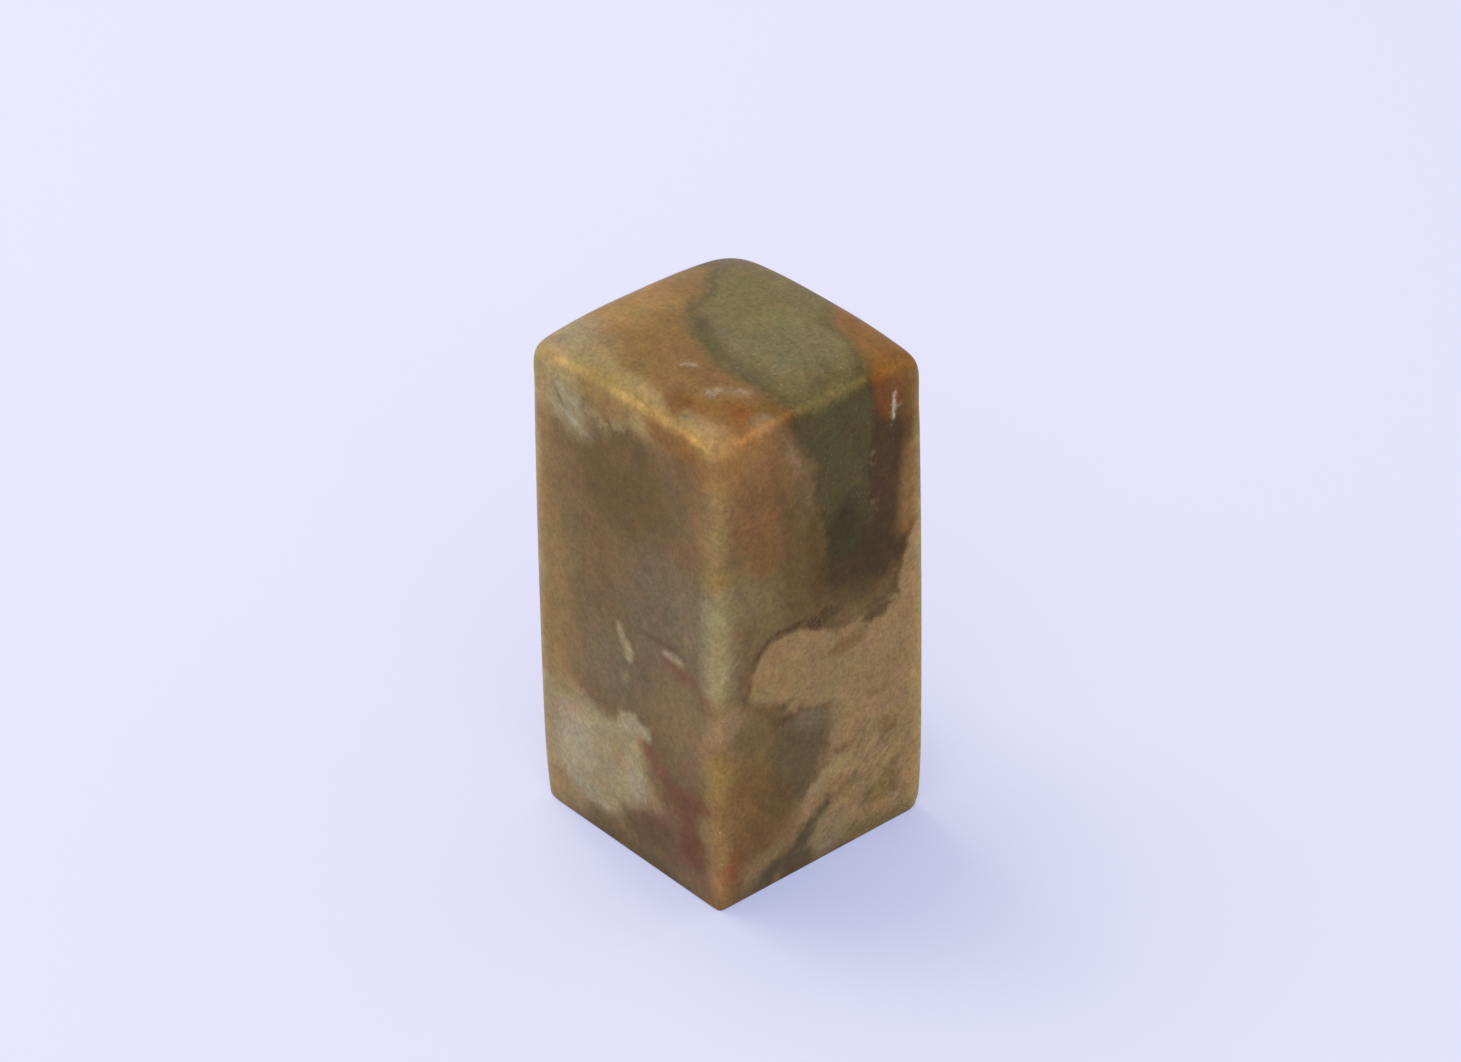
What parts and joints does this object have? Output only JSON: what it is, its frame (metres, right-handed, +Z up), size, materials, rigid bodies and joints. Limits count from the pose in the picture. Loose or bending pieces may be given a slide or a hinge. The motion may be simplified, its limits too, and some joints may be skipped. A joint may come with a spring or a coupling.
{
  "type": "seal stamp",
  "caption": "Square polished stone seal with a crowned top, hand-worn edges and a printing face carved in relief.",
  "frame": {"origin": "middle of the base, on the plane of the printing face", "axes": "+Z up the block to its crowned top; the front looks along -Y and the right side along +X"},
  "size_m": [0.0254, 0.0246, 0.05],
  "materials": {
    "stone": "soft polish over brown, ochre and grey-green mottled carving stone"
  },
  "bodies": {
    "root": {"seal_stone": "stone"}
  },
  "joints": []
}
